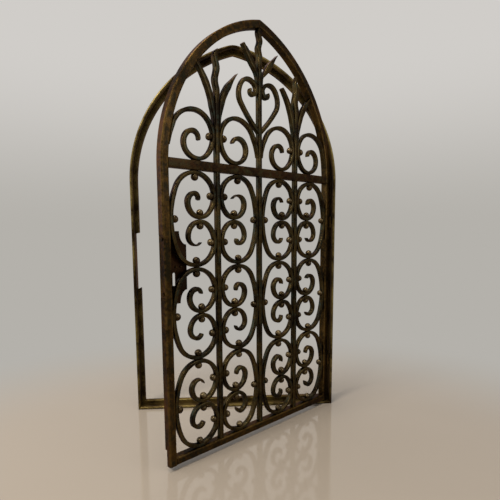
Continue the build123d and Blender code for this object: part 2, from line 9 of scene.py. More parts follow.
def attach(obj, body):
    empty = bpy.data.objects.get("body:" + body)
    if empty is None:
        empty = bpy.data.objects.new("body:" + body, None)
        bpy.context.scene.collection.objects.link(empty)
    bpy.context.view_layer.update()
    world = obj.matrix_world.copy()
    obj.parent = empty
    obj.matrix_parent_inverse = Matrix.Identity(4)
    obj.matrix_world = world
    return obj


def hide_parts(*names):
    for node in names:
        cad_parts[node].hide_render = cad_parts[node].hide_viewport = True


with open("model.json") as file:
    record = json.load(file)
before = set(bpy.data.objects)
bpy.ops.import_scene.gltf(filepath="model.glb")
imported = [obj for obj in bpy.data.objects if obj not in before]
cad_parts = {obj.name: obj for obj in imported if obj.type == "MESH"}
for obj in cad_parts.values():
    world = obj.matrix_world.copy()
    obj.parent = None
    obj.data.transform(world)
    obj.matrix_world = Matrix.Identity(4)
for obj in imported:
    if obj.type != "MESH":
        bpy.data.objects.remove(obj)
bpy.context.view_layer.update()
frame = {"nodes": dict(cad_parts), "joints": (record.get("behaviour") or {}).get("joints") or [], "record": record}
slotOf = {part["node"]: part["material_slot"] for part in frame["record"]["subparts"]}
print("frame loaded:", len(frame["nodes"]), "nodes")

mm = 0.001
rng = random.Random(7)

# The window, in millimetres. The leaf stands open on its hinge, so its plane comes from the joint.
window = {
    "width": 327.0, "spring": 371.0, "archRadius": 213.0, "apexRounding": 45.0, "depth": 24.0,
    "leafGap": 6.5, "leafFloor": 6.0, "border": 10.2, "borderDepth": 11.0, "hingeInset": 1.0,
}
hinge = next(j for j in frame["joints"] if j["name"] == "leaf_swing")
hingePlace = Vector(hinge["pos_m"][:2]).to_3d()
openAngle = -math.radians(hinge["range_deg"][0])
leafAcross = Vector((math.cos(openAngle), math.sin(openAngle), 0))
leafOut = Vector((math.sin(openAngle), -math.cos(openAngle), 0))
up = Vector((0, 0, 1))

halfWidth = window["width"] / 2
leafWidth = window["width"] - 2 * window["leafGap"]
leafRadius = window["archRadius"] - window["leafGap"]
leafLeft = window["hingeInset"] - leafWidth
leafMiddle = window["hingeInset"] - leafWidth / 2
leafFront = -window["hingeInset"]
insideRadius = leafRadius - window["border"]
railTop = window["leafFloor"] + window["border"]


def leafPoint(a, b, c):  # a towards the hinge side, b up, c out of the leaf's front
    return hingePlace + (leafAcross * a + up * b + leafOut * c) * mm


def insideHeight(a):  # the underside of the leaf's arch over a
    side = abs(a - leafMiddle) + leafRadius - leafWidth / 2
    return window["spring"] + math.sqrt(max(0, insideRadius ** 2 - side ** 2))


# Meshes
sharpAngle = math.radians(40)
hairline = 0.05  # how close two stations stand where a shape steps
faceBand = 0.1  # a point this close to a face lies on it


def makePiece(name, verts, faces, wearAndHighlight):
    mesh = bpy.data.meshes.new(name)
    mesh.from_pydata(verts, [], faces)
    mesh.validate()
    rub = mesh.attributes.new("wearAndHighlight", "FLOAT", "POINT")
    rub.data.foreach_set("value", wearAndHighlight)
    work = bmesh.new()
    work.from_mesh(mesh)
    bmesh.ops.recalc_face_normals(work, faces=work.faces)
    work.to_mesh(mesh)
    work.free()
    mesh.shade_smooth()
    mesh.set_sharp_from_angle(angle=sharpAngle)
    piece = bpy.data.objects.new(name, mesh)
    bpy.context.scene.collection.objects.link(piece)
    return piece


def sweepMesh(name, section, stations, place):
    # section is a ring of (x, y, wear), and place puts one of its points at a station
    verts, wearAndHighlight, faces = [], [], []
    count = len(section)
    for station in stations:
        for x, y, w in section:
            verts.append(place(x, y, station))
            wearAndHighlight.append(w)
    for i in range(len(stations) - 1):
        for j in range(count):
            k = (j + 1) % count
            faces.append((i * count + j, i * count + k, (i + 1) * count + k, (i + 1) * count + j))
    faces.append(tuple(range(count)))
    faces.append(tuple(range(len(verts) - 1, len(verts) - 1 - count, -1)))
    return makePiece(name, verts, faces, wearAndHighlight)


def evenly(start, end, steps):
    return [start + (end - start) * i / steps for i in range(steps + 1)]


def withEdges(stations, edges):  # a shape that steps at an edge has a station on either side of it
    return sorted(stations + [edge + way * hairline for edge in edges for way in (-1, 1)])


def install(piece, node, material, body="leaf"):
    piece.data.materials.clear()
    piece.data.materials.append(material)
    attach(piece, body)
    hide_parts(node)


boxCorner = {"steps": 4, "wearAndHighlight": 0.55, "wearGain": 0.45}


def roundedBox(wide, deep, radius):
    # a rectangle with round corners, rubbed bright on the corners and dark on the flats
    ring = []
    steps = boxCorner["steps"]
    for cornerX, cornerY, start in ((1, -1, -90), (1, 1, 0), (-1, 1, 90), (-1, -1, 180)):
        for step in range(steps + 1):
            angle = math.radians(start + 90 * step / steps)
            x = cornerX * (wide / 2 - radius) + radius * math.cos(angle)
            y = cornerY * (deep / 2 - radius) + radius * math.sin(angle)
            ring.append((x, y, boxCorner["wearAndHighlight"] + boxCorner["wearGain"] * math.sin(math.pi * step / steps)))
        nextX, nextY = -cornerY, cornerX
        ring.append(((cornerX + nextX) / 2 * wide / 2, (cornerY + nextY) / 2 * deep / 2, 0.0))
    return ring


# Materials


def linear(hexColour):
    values = [int(hexColour[i:i + 2], 16) / 255 for i in (1, 3, 5)]
    return [v / 12.92 if v <= 0.04045 else ((v + 0.055) / 1.055) ** 2.4 for v in values] + [1.0]


def emptyTree(owner):
    owner.use_nodes = True
    owner.node_tree.nodes.clear()
    return owner.node_tree


def addNode(tree, kind, links=None, values=None, **settings):
    node = tree.nodes.new(kind)
    for key, value in settings.items():
        setattr(node, key, value)
    for key, value in (values or {}).items():
        node.inputs[key].default_value = value
    for key, source in (links or {}).items():
        tree.links.new(source, node.inputs[key])
    return node


def perMetre(millimetres):  # a texture's scale from the size of its grain
    return 1000 / millimetres


bronzeLooks = {
    # old cast bronze, waxed dark brown, with its ridges rubbed to a dull gold by hands and cloths
    "frame_bronze": {"brown": "#493718", "dark": "#261a0a", "green": "#383114", "bare": "#897a4a",
                     "greenFrom": 0.54, "rub": 0.50, "roughness": 0.41, "crevice": 1.6,
                     "bump": 0.05, "fine": 0.2},
    # rolled bar, browner than the frame, with dark pitting along the middle of its face
    "border_bronze": {"brown": "#453011", "dark": "#1a1106", "green": "#1c1a0d", "bare": "#725c32",
                      "greenFrom": 0.47, "rub": 0.30, "roughness": 0.34},
    # a bar that was never polished, so it stays a deep reddish brown
    "transom_bronze": {"brown": "#2e1a0a", "dark": "#150d06", "green": "#38361f", "bare": "#4c3c20",
                       "greenFrom": 0.52, "rub": 0.40, "roughness": 0.36, "fine": 0.55},
    # forged strip goes grey-green between the scrolls, where no cloth reaches
    "scroll_bronze": {"brown": "#34270e", "dark": "#130c04", "green": "#28352d", "bare": "#6d603f",
                      "greenFrom": 0.50, "rub": 0.15, "roughness": 0.27, "bump": 0.3, "fine": 0.3},
    # hammered rivet heads stand proud, so they take the brightest polish; this bare colour also paints a highlight
    # on their tops
    "rivet_bronze": {"brown": "#3f2e13", "dark": "#1b1207", "green": "#2b2d1e", "bare": "#ab9c7a",
                     "greenFrom": 0.60, "rub": 0.27, "roughness": 0.22, "bump": 0.12},
    # sheet bronze on the back of the leaf, hardly touched, so it stays brown and dull
    "plate_bronze": {"brown": "#2c190a", "dark": "#150d06", "green": "#262317", "bare": "#523c1a",
                     "greenFrom": 0.60, "rub": 0.36, "roughness": 0.42},
    # turned pins and screws, brown all over with a slight shine
    "fastener_bronze": {"brown": "#382810", "dark": "#170f06", "green": "#292c1d", "bare": "#6b5428",
                        "greenFrom": 0.60, "rub": 0.46, "roughness": 0.36},
}
wax = {"weight": 0.05, "roughness": 0.2, "edgeTint": "#a8834e"}
# sizes of the grain in millimetres, and how deep the dimples and pits are
# real specks are finer than a millimetre, and are drawn this coarse so that they show
grain = {"clouds": 34, "patches": 9, "specks": 3.8, "dimples": 6, "dimpleDeep": 0.45, "pitDeep": 0.22}
# where each layer of the patina begins and ends in its noise, and how strong it gets
patina = {
    "brownFrom": 0.40, "brownTo": 0.60, "fine": 0.45, "bump": 0.5,
    "greenBefore": 0.06, "greenAfter": 0.18, "greenMost": 0.85, "greenRough": 0.2,
    "rubFrom": 0.40, "rubTo": 0.62, "rubGain": 1.6, "metalLeast": 0.82,
    "roughFrom": 0.3, "roughTo": 0.7, "smoother": 0.08, "rougher": 0.10,
    # painted shade: the dark colour put into crevices, how far it reaches, and where it fades in and out
    "paintedShade": "#070402", "shadeReach": 6, "shadeFrom": 0.25, "shadeTo": 0.84, "shadeMost": 0.95,
}


def agedBronze(name, look):
    material = bpy.data.materials.new(name)
    tree = emptyTree(material)
    bump = look.get("bump", patina["bump"])
    place = addNode(tree, "ShaderNodeTexCoord").outputs["Object"]
    clouds = addNode(tree, "ShaderNodeTexNoise", {"Vector": place},
                     {"Scale": perMetre(grain["clouds"]), "Detail": 4, "Roughness": 0.6}).outputs["Fac"]
    patches = addNode(tree, "ShaderNodeTexNoise", {"Vector": place},
                      {"Scale": perMetre(grain["patches"]), "Detail": 6, "Roughness": 0.62,
                       "Distortion": 0.4}).outputs["Fac"]
    specks = addNode(tree, "ShaderNodeTexNoise", {"Vector": place},
                     {"Scale": perMetre(grain["specks"]), "Detail": 4, "Roughness": 0.7}).outputs["Fac"]
    wearAndHighlight = addNode(tree, "ShaderNodeAttribute", attribute_name="wearAndHighlight").outputs["Fac"]

    # brown and dark patina drift into each other, mottled at two sizes
    mottle = addNode(tree, "ShaderNodeMix", {2: clouds, 3: specks}, {0: look.get("fine", patina["fine"])},
                     data_type="FLOAT")
    brownAmount = addNode(tree, "ShaderNodeMapRange", {"Value": mottle.outputs[0]},
                          {"From Min": patina["brownFrom"], "From Max": patina["brownTo"]},
                          interpolation_type="SMOOTHSTEP")
    base = addNode(tree, "ShaderNodeMix", {"Factor": brownAmount.outputs["Result"]},
                   {6: linear(look["dark"]), 7: linear(look["brown"])}, data_type="RGBA")

    # verdigris sits in soft patches on the flats and stays off the rubbed corners
    greenAmount = addNode(tree, "ShaderNodeMapRange", {"Value": patches},
                          {"From Min": look["greenFrom"] - patina["greenBefore"],
                           "From Max": look["greenFrom"] + patina["greenAfter"],
                           "To Max": patina["greenMost"]}, interpolation_type="SMOOTHSTEP")
    sheltered = addNode(tree, "ShaderNodeMath", {1: wearAndHighlight}, {0: 1.0}, operation="SUBTRACT", use_clamp=True)
    greenHere = addNode(tree, "ShaderNodeMath",
                        {0: greenAmount.outputs["Result"], 1: sheltered.outputs[0]}, operation="MULTIPLY")
    greened = addNode(tree, "ShaderNodeMix", {"Factor": greenHere.outputs[0], 6: base.outputs[2]},
                      {7: linear(look["green"])}, data_type="RGBA")

    # rubbed corners, broken up by the same mottling; on the ball heads the same mix also paints a highlight on
    # their tops
    broken = addNode(tree, "ShaderNodeMapRange", {"Value": mottle.outputs[0]},
                     {"From Min": patina["rubFrom"], "From Max": patina["rubTo"]})
    rubbed = addNode(tree, "ShaderNodeMath", {0: wearAndHighlight, 1: broken.outputs["Result"]}, operation="MULTIPLY")
    rubAmount = addNode(tree, "ShaderNodeMath", {0: rubbed.outputs[0]}, {1: look["rub"] * patina["rubGain"]},
                        operation="MULTIPLY", use_clamp=True)
    coloured = addNode(tree, "ShaderNodeMix", {"Factor": rubAmount.outputs[0], 6: greened.outputs[2]},
                       {7: linear(look["bare"])}, data_type="RGBA")

    # specks and verdigris roughen it, and the patina dulls it where the metal isn't rubbed bare
    rough = addNode(tree, "ShaderNodeMapRange", {"Value": specks},
                    {"From Min": patina["roughFrom"], "From Max": patina["roughTo"],
                     "To Min": look["roughness"] - patina["smoother"],
                     "To Max": look["roughness"] + patina["rougher"]})
    roughGreen = addNode(tree, "ShaderNodeMath", {0: greenHere.outputs[0]}, {1: patina["greenRough"]},
                         operation="MULTIPLY")
    roughAll = addNode(tree, "ShaderNodeMath", {0: rough.outputs["Result"], 1: roughGreen.outputs[0]},
                       operation="ADD", use_clamp=True)
    bareMetal = addNode(tree, "ShaderNodeMapRange", {"Value": rubAmount.outputs[0]},
                        {"To Min": patina["metalLeast"], "To Max": 1.0})

    # painted shade: ambient occlusion darkens the colour in crevices and where pieces meet
    crevice = addNode(tree, "ShaderNodeAmbientOcclusion",
                      values={"Distance": look.get("crevice", patina["shadeReach"]) * mm}, samples=6)
    paintedShade = addNode(tree, "ShaderNodeMapRange", {"Value": crevice.outputs["AO"]},
                   {"From Min": patina["shadeFrom"], "From Max": patina["shadeTo"],
                    "To Min": patina["shadeMost"], "To Max": 0.0})
    shadedColour = addNode(tree, "ShaderNodeMix", {"Factor": paintedShade.outputs["Result"], 6: coloured.outputs[2]},
                    {7: linear(patina["paintedShade"])}, data_type="RGBA")

    dimples = addNode(tree, "ShaderNodeTexNoise", {"Vector": place},
                      {"Scale": perMetre(grain["dimples"]), "Detail": 2, "Roughness": 0.5}).outputs["Fac"]
    hammered = addNode(tree, "ShaderNodeBump", {"Height": dimples},
                       {"Strength": bump, "Distance": grain["dimpleDeep"] * mm})
    pitted = addNode(tree, "ShaderNodeBump", {"Height": specks, "Normal": hammered.outputs["Normal"]},
                     {"Strength": bump, "Distance": grain["pitDeep"] * mm})
    shader = addNode(tree, "ShaderNodeBsdfPrincipled",
                     {"Base Color": shadedColour.outputs[2], "Roughness": roughAll.outputs[0],
                      "Metallic": bareMetal.outputs["Result"], "Normal": pitted.outputs["Normal"]},
                     {"Coat Weight": wax["weight"], "Coat Roughness": wax["roughness"],
                      "Specular Tint": linear(wax["edgeTint"])})
    addNode(tree, "ShaderNodeOutputMaterial", {"Surface": shader.outputs["BSDF"]})
    return material


bronze = {name: agedBronze(name, look) for name, look in bronzeLooks.items()}
for nodeName, nodeObject in frame["nodes"].items():
    nodeObject.data.materials.clear()
    nodeObject.data.materials.append(bronze[slotOf[nodeName]])
print("materials made:", len(bronze))


# Fixed frame: a moulding with a double bead in front, a thin wall and a stop flange behind
moulding = {
    "rimWidth": 4.6, "rimDepth": 6.0, "wall": 3.4, "stopWidth": 9.3, "stopDepth": 7.5, "edge": 0.5,
    "beadRound": 1.9, "grooveAt": 3.35, "grooveWide": 0.3, "grooveDeep": 0.5,
    "duller": 0.45, "grooveDuller": 1.8,  # how fast the polish fades away from the ridges
    "lockGapFrom": 199.0, "lockGapTo": 291.0,
    "beadSteps": 20, "jambSteps": 60, "sillSteps": 60, "archSteps": 90,
}


def frameProfile():
    # a ring of (distance in from the outside, depth from the front, wear)
    rim, rimBack, back = moulding["rimWidth"], moulding["rimDepth"], window["depth"]
    wall, stop, edge = moulding["wall"], moulding["stopWidth"], moulding["edge"]
    bead, stopFront = moulding["beadRound"], back - moulding["stopDepth"]
    ring = []
    for i in range(moulding["beadSteps"] + 1):  # the beads, with points closer together at both edges
        even = i / moulding["beadSteps"]
        p = rim * (0.6 * (1 - math.cos(math.pi * even)) / 2 + 0.4 * even)
        edgeIn = min(p, rim - p)
        fall = bead - math.sqrt(max(0, bead ** 2 - max(0, bead - edgeIn) ** 2))
        fromGroove = (p - moulding["grooveAt"]) / moulding["grooveWide"]
        groove = moulding["grooveDeep"] * math.exp(-fromGroove ** 2)
        wearAndHighlight = max(0.0, 1.0 - moulding["duller"] * fall - moulding["grooveDuller"] * groove)
        ring.append((p, fall + groove, wearAndHighlight))
    ring += [(rim, rimBack - edge, 0.5), (rim - edge, rimBack, 0.4)]
    ring += [(wall + edge, rimBack + edge, 0.3), (wall, rimBack + 2, 0.55)]
    ring += [(wall, stopFront - 1, 0.45), (wall + 0.1, stopFront - 0.2, 0.1), (wall + 0.5, stopFront, 0.1)]
    ring += [(wall + 1.5, stopFront, 0.45), (stop - edge, stopFront, 0.65)]
    ring += [(stop, stopFront + edge, 0.9), (stop, back - edge, 0.4)]
    ring += [(stop - edge, back, 0.35), (stop / 2, back, 0.0)]
    ring += [(edge, back, 0.3), (0.0, back - edge, 0.4), (0.0, back / 2, 0.0), (0.0, 3.0, 0.3)]
    return ring


profile = frameProfile()
front = -window["depth"] / 2


def jambPlace(side, gap):
    def place(p, q, z):
        onStop = q > window["depth"] - moulding["stopDepth"] - faceBand
        if gap and onStop and moulding["lockGapFrom"] < z < moulding["lockGapTo"]:
            p = min(p, moulding["wall"])
        height = p + (z / window["spring"]) * (window["spring"] - p)
        return Vector((side * (halfWidth - p), front + q, height)) * mm
    return place


jambHeights = evenly(0, window["spring"], moulding["jambSteps"])
lockGap = (moulding["lockGapFrom"], moulding["lockGapTo"])
for side, node, edges in ((-1, "left_jamb", lockGap), (1, "right_jamb", ())):
    jamb = sweepMesh(node + "_moulding", profile, withEdges(jambHeights, edges), jambPlace(side, side < 0))
    install(jamb, node, bronze["frame_bronze"], "root")


def sillPlace(p, q, t):
    return Vector((t * (halfWidth - p), front + q, p)) * mm


sill = sweepMesh("sill_moulding", profile, evenly(-1, 1, moulding["sillSteps"]), sillPlace)
install(sill, "sill", bronze["frame_bronze"], "root")

archCentre = window["archRadius"] - halfWidth
roundCentre = math.sqrt((window["archRadius"] - window["apexRounding"]) ** 2 - archCentre ** 2)


def outerRadius(angle):  # the outside of the arch, cut by the rounded apex
    dx, dz = -math.cos(angle), math.sin(angle)
    along = dx * archCentre - dz * roundCentre
    gap = archCentre ** 2 + roundCentre ** 2 - window["apexRounding"] ** 2
    reach = -along + math.sqrt(max(0, along ** 2 - gap))
    tangent = math.atan2(roundCentre, archCentre)
    return reach if angle > tangent else window["archRadius"]


def archPlace(side):
    def place(p, q, t):
        radius = window["archRadius"] - p
        angle = t * math.acos(archCentre / radius)
        radius = min(radius, outerRadius(angle))
        x = archCentre - radius * math.cos(angle)
        return Vector((-side * min(x, 0), front + q, window["spring"] + radius * math.sin(angle))) * mm
    return place


for side, node in ((-1, "left_arch"), (1, "right_arch")):
    arch = sweepMesh(node + "_moulding", profile, evenly(0, 1, moulding["archSteps"]), archPlace(side))
    install(arch, node, bronze["frame_bronze"], "root")
print("fixed frame done")


# Border of the leaf: bars with bevelled front edges
border = {
    "bevel": 1.3, "backEdge": 0.5, "ripple": 0.24, "rippleAcross": 3,
    "recess": 0.9, "recessFrom": 217.0, "recessTo": 292.0,  # let in for the lock
    "notchHigh": 21.0, "notchWide": 3.0, "notchDeep": 4.0,  # cut from the back of the free stile's foot
    "stileSteps": 70, "archSteps": 80, "railSteps": 60,
}
# two waves out of step, in radians per millimetre
waves = {"slowA": 0.11, "slowB": 0.071, "quickA": 0.09, "quickB": 0.23, "quickShare": 0.7, "quickStart": 1.3}


def borderProfile():
    w, d, e, r = window["border"], window["borderDepth"], border["bevel"], border["backEdge"]
    ring = [(0.0, e, 0.75), (e * 0.5, e * 0.5, 1.0), (e, 0.0, 0.8), (e + 0.9, 0.0, 0.25)]
    ring += [(w * (0.3 + 0.1 * i), 0.0, 0.0) for i in range(5)]
    ring += [(w - e - 0.9, 0.0, 0.25), (w - e, 0.0, 0.8), (w - e * 0.35, e * 0.35, 1.0), (w, e, 0.75)]
    ring += [(w, d * 0.35, 0.12), (w, d * 0.7, 0.05), (w, d - r, 0.5), (w - r, d, 0.5)]
    ring += [(w * 0.75, d, 0.1), (w * 0.5, d, 0.05), (w * 0.25, d, 0.1), (r, d, 0.5), (0.0, d - r, 0.5)]
    ring += [(0.0, d * 0.7, 0.15), (0.0, d * 0.35, 0.2)]
    return ring


borderRing = borderProfile()


def ripple(a, b, amount):  # slow unevenness of a hand-worked face, which only ever sinks it
    slow = math.sin(waves["slowA"] * a + waves["slowB"] * b)
    quick = math.sin(waves["quickB"] * b - waves["quickA"] * a + waves["quickStart"])
    share = waves["quickShare"]
    return amount * ((slow + share * quick) / (1 + share) - 1) / 2


def faceRipple(a, b, depth):  # only the front face has it
    return ripple(a, b, border["ripple"]) if depth < faceBand else 0


def stilePlace(left, free):
    notchTop = window["leafFloor"] + border["notchHigh"]
    notchFrom = window["borderDepth"] - border["notchDeep"]

    def place(x, y, b):
        c = leafFront - y + faceRipple(x * border["rippleAcross"], b, y)
        if free and x < faceBand and border["recessFrom"] < b < border["recessTo"]:
            x = border["recess"]
        if free and b < notchTop and x < border["notchWide"] and y > notchFrom:
            if y > window["borderDepth"] - 1:
                x = max(x, border["notchWide"])
            else:
                c = leafFront - notchFrom
        return leafPoint(left + x, b, c)
    return place


stileHeights = evenly(window["leafFloor"], window["spring"], border["stileSteps"])
freeEdges = (border["recessFrom"], border["recessTo"], window["leafFloor"] + border["notchHigh"])
railStart = leafLeft + window["border"]
railEnd = window["hingeInset"] - window["border"]
for node, left, edges in (("free_stile", leafLeft, freeEdges), ("hinge_stile", railEnd, ())):
    stations = withEdges(stileHeights, edges)
    stile = sweepMesh(node + "_bar", borderRing, stations, stilePlace(left, node == "free_stile"))
    install(stile, node, bronze["border_bronze"])


def leafArchPlace(side):
    apart = leafRadius - leafWidth / 2

    def place(x, y, t):
        radius = leafRadius - x
        angle = t * math.acos(apart / radius)
        a = leafMiddle + side * (radius * math.cos(angle) - apart)
        b = window["spring"] + radius * math.sin(angle)
        return leafPoint(a, b, leafFront - y + faceRipple(x * border["rippleAcross"], b, y))
    return place


for side, node in ((-1, "leaf_left_arch"), (1, "leaf_right_arch")):
    leafArch = sweepMesh(node + "_bar", borderRing, evenly(0, 1, border["archSteps"]), leafArchPlace(side))
    install(leafArch, node, bronze["border_bronze"])


def railPlace(x, y, a):
    c = leafFront - y + faceRipple(a, x * border["rippleAcross"], y)
    return leafPoint(a, window["leafFloor"] + x, c)


rail = sweepMesh("bottom_rail_bar", borderRing, evenly(railStart, railEnd, border["railSteps"]), railPlace)
install(rail, "bottom_rail", bronze["border_bronze"])
print("leaf border done")


# Transom
crossBar = {
    "drop": 1.7, "high": 11.3, "deep": 9.0, "edge": 0.8, "ripple": 0.2, "rippleAcross": 2, "steps": 60,
}
transomBottom = window["spring"] - crossBar["drop"]
transomTop = transomBottom + crossBar["high"]


def transomPlace(x, y, a):
    lift = ripple(a, y * crossBar["rippleAcross"], crossBar["ripple"])
    b = transomBottom + crossBar["high"] / 2 + x
    return leafPoint(a, b, leafFront - crossBar["deep"] / 2 + y + lift)


transomRing = roundedBox(crossBar["high"], crossBar["deep"], crossBar["edge"])
transom = sweepMesh("transom_bar", transomRing, evenly(railStart, railEnd, crossBar["steps"]), transomPlace)
install(transom, "transom", bronze["transom_bronze"])

# Upright bars, each beaten out above its crotch into a blade that sways
upright = {
    "wide": 6.6, "deep": 7.5, "edge": 1.6, "spacing": 74.1, "setback": 4.3, "ripple": 0.12, "steps": 170,
}
blade = {
    "crotchRise": {"left": 55.4, "middle": 116.5, "right": 55.4}, "start": 22.0, "rise": 12,
    "wide": {"left": 7.4, "middle": 7.6, "right": 10.0}, "sway": 1.5, "waves": 4, "taper": 22.0,
    "tipShare": {"left": 0.6, "middle": 0.8, "right": 0.12},
    "slant": {"left": 3.5, "middle": 0, "right": 3.5},
    "gap": {"left": 6.0, "middle": -1, "right": 6.0},  # below the arch, which the middle bar runs into
}
stripMiddle = leafFront - upright["setback"]
leftBar = leafMiddle - upright["spacing"]
rightBar = leafMiddle + upright["spacing"]
barPlaces = {"left": leftBar, "middle": leafMiddle, "right": rightBar}


def barPlace(name, bladeFoot, top):
    middle = barPlaces[name]

    def place(x, y, b):
        rise = min(1, max(0, (b - bladeFoot) / blade["rise"]))
        wider = 1 + (blade["wide"][name] / upright["wide"] - 1) * rise
        turn = (b - bladeFoot) / (top - bladeFoot) * blade["waves"] * math.pi
        sway = blade["sway"] * math.sin(turn) * rise
        end = max(0, 1 - (top - b) / blade["taper"])
        slant = blade["slant"][name] * (0.5 - x / upright["wide"]) * end
        narrower = 1 - (1 - blade["tipShare"][name]) * end
        a = middle + x * wider * narrower + sway + ripple(b, middle, upright["ripple"])
        return leafPoint(a, min(b - slant, insideHeight(a)), stripMiddle + y)
    return place


barRing = roundedBox(upright["wide"], upright["deep"], upright["edge"])
for name, middle in barPlaces.items():
    foot = transomTop + blade["crotchRise"][name] + blade["start"]
    top = insideHeight(middle) - blade["gap"][name]
    bar = sweepMesh(name + "_bar_forged", barRing, evenly(railTop, top, upright["steps"]),
                    barPlace(name, foot, top))
    install(bar, name + "_bar", bronze["scroll_bronze"])
print("transom and bars done")


# Bent strip
strip = {
    "thick": 4.2, "deep": 7.0, "edge": 1.3, "spacing": 1.6, "fewest": 3,
    "seat": 0.05,  # a hair's clearance where it bears on another piece
    "fuller": 1.0,  # hammering thickened the hollow side of each bend
    "rootThick": 1.2, "rootTaper": 26.0,  # a foot drawn out thin
    "filed": 1.2, "filedLeast": 0.78, "filedGain": 0.22,  # the very end is filed round
    "slowWave": (0.035, 0.19), "quickWave": (0.02, 0.47),  # a share of the thickness, and its turn per mm
    "deepLeast": 0.96, "deepGain": 0.04,
}
halfStrip = strip["thick"] / 2


def bendsBetween(start, end, heading, first, second):
    # radii of two bends, with the turns given in degrees, that leave start along heading and arrive at end
    def reach(angle, turn):
        way = math.copysign(1, turn)
        a, b = math.radians(angle), math.radians(angle + turn)
        return way * (math.sin(b) - math.sin(a)), way * (math.cos(a) - math.cos(b))
    ax, ay = reach(heading, first)
    bx, by = reach(heading + first, second)
    across, along = end[0] - start[0], end[1] - start[1]
    scale = ax * by - ay * bx
    return [((across * by - along * bx) / scale, first), ((ax * along - ay * across) / scale, second)]


def quarterBend(start, end, heading):
    return bendsBetween(start, end, heading, 45, 45)


def bentLine(start, heading, bends, spacing=strip["spacing"]):
    # points along true arcs, each with its heading in radians
    x, y = start
    angle = math.radians(heading)
    line = [(x, y, angle)]
    for radius, turn in bends:
        way = math.copysign(1, turn)
        count = max(strip["fewest"], round(radius * abs(math.radians(turn)) / spacing))
        centreX = x - way * radius * math.sin(angle)
        centreY = y + way * radius * math.cos(angle)
        for i in range(1, count + 1):
            here = angle + math.radians(turn) * i / count
            x = centreX + way * radius * math.sin(here)
            y = centreY - way * radius * math.cos(here)
            line.append((x, y, here))
        angle = here
    return line


def stripPiece(name, line, place, thick, tips, taper, root, swell):
    # a strip along a line of (x, y, heading), with tips as the share of its thickness left at each end
    # a root draws the first end out thin on one side only: 1 left, -1 right
    # swell is how far from a tip the strip was hammered broad, and by what share
    lengths = [0.0]
    for (x0, y0, _), (x1, y1, _) in zip(line, line[1:]):
        lengths.append(lengths[-1] + math.hypot(x1 - x0, y1 - y0))
    total = lengths[-1]
    fuller = strip["fuller"] if root >= 0 else 0
    filed = strip["edge"] * strip["filed"]
    phase = rng.uniform(0, 6)
    slowShare, slowTurn = strip["slowWave"]
    quickShare, quickTurn = strip["quickWave"]

    def put(x, y, i):
        px, py, angle = line[i]
        share = 1.0
        ends = ((lengths[i], tips[0], taper[0]), (total - lengths[i], tips[1], taper[1]))
        for distance, tip, reach in ends:
            if tip is None:
                continue
            share = min(share, tip + (1 - tip) * min(1, distance / reach))
            if distance < swell[0] and (tip < 1 or distance > reach):
                share *= 1 + swell[1] * math.sin(math.pi * distance / swell[0])
            if distance < filed:
                share *= strip["filedLeast"] + strip["filedGain"] * distance / filed
        uneven = 1 + slowShare * math.sin(lengths[i] * slowTurn + phase)
        uneven += quickShare * math.sin(lengths[i] * quickTurn + 2 * phase)
        drawn = (thick + fuller - strip["rootThick"]) * max(0, 1 - lengths[i] / strip["rootTaper"])
        leftHalf = (thick / 2 + fuller) * share * uneven - (drawn if root > 0 else 0)
        rightHalf = thick / 2 * share * uneven - (drawn if root < 0 else 0)
        across = -rightHalf + (x / thick + 0.5) * (leftHalf + rightHalf)
        depth = y * (strip["deepLeast"] + strip["deepGain"] * share)
        return place(px - math.sin(angle) * across, py + math.cos(angle) * across, depth)
    return sweepMesh(name, roundedBox(thick, strip["deep"], strip["edge"]), range(len(line)), put)


def besideBar(bar, side, height, clip=False):
    # from a bar's face and a height to the leaf
    def place(x, y, depth):
        a = bar + side * (upright["wide"] / 2 + max(x, strip["seat"]))
        b = height + y
        return leafPoint(a, min(b, insideHeight(a)) if clip else b, stripMiddle + depth)
    return place


# Double scrolls under the transom
rowCount = 3
rowHeight = (transomBottom - railTop) / rowCount
rowMiddles = [railTop + (row + 0.5) * rowHeight for row in range(rowCount)]
innerWidth = upright["spacing"] - upright["wide"]
outerWidth = leafWidth / 2 - window["border"] - upright["spacing"] - upright["wide"] / 2
columns = [(leftBar, -1, outerWidth), (leftBar, 1, innerWidth),
           (rightBar, -1, innerWidth), (rightBar, 1, outerWidth)]
lower = {
    "crownX": 31.2, "barTouchY": 28.8, "voluteTouchX": 24.5, "shoulderTurn": 25, "swell": (56, 0.15),
    "volute": (18.5, 90), "voluteTop": (11.5, 80),  # radius and turn
    "tipRadius": 7.0, "tipTurns": (110, 80, 125), "tipShare": 0.65, "taper": 14.0,
}
# where a scroll's two tips differ from the rest: radius, turn, share of thickness and length of the taper
voluteTips = {
    (3, 1): {"upper": (6.0, 125, 0.85, 8), "lower": (9.5, 62, 0.16, 30)},
    (3, 2): {"upper": (13.0, 62, 0.14, 26), "lower": (4.6, 128, 0.95, 8)},
    (3, 3): {"upper": (7.5, 92, 0.30, 22), "lower": (6.6, 100, 0.55, 16)},
    (3, 4): {"upper": (5.6, 118, 0.95, 8), "lower": (8.0, 80, 0.30, 20)},
    (2, 1): {"upper": (7.4, 98, 0.62, 12), "lower": (7.6, 84, 0.70, 12)},
    (2, 2): {"upper": (6.4, 120, 0.75, 10), "lower": (7.0, 96, 0.45, 18)},
    (1, 1): {"upper": (8.0, 88, 0.28, 22), "lower": (7.4, 86, 0.85, 8)},
    (1, 2): {"upper": (6.6, 112, 0.85, 8), "lower": (7.0, 100, 0.50, 16)},
}


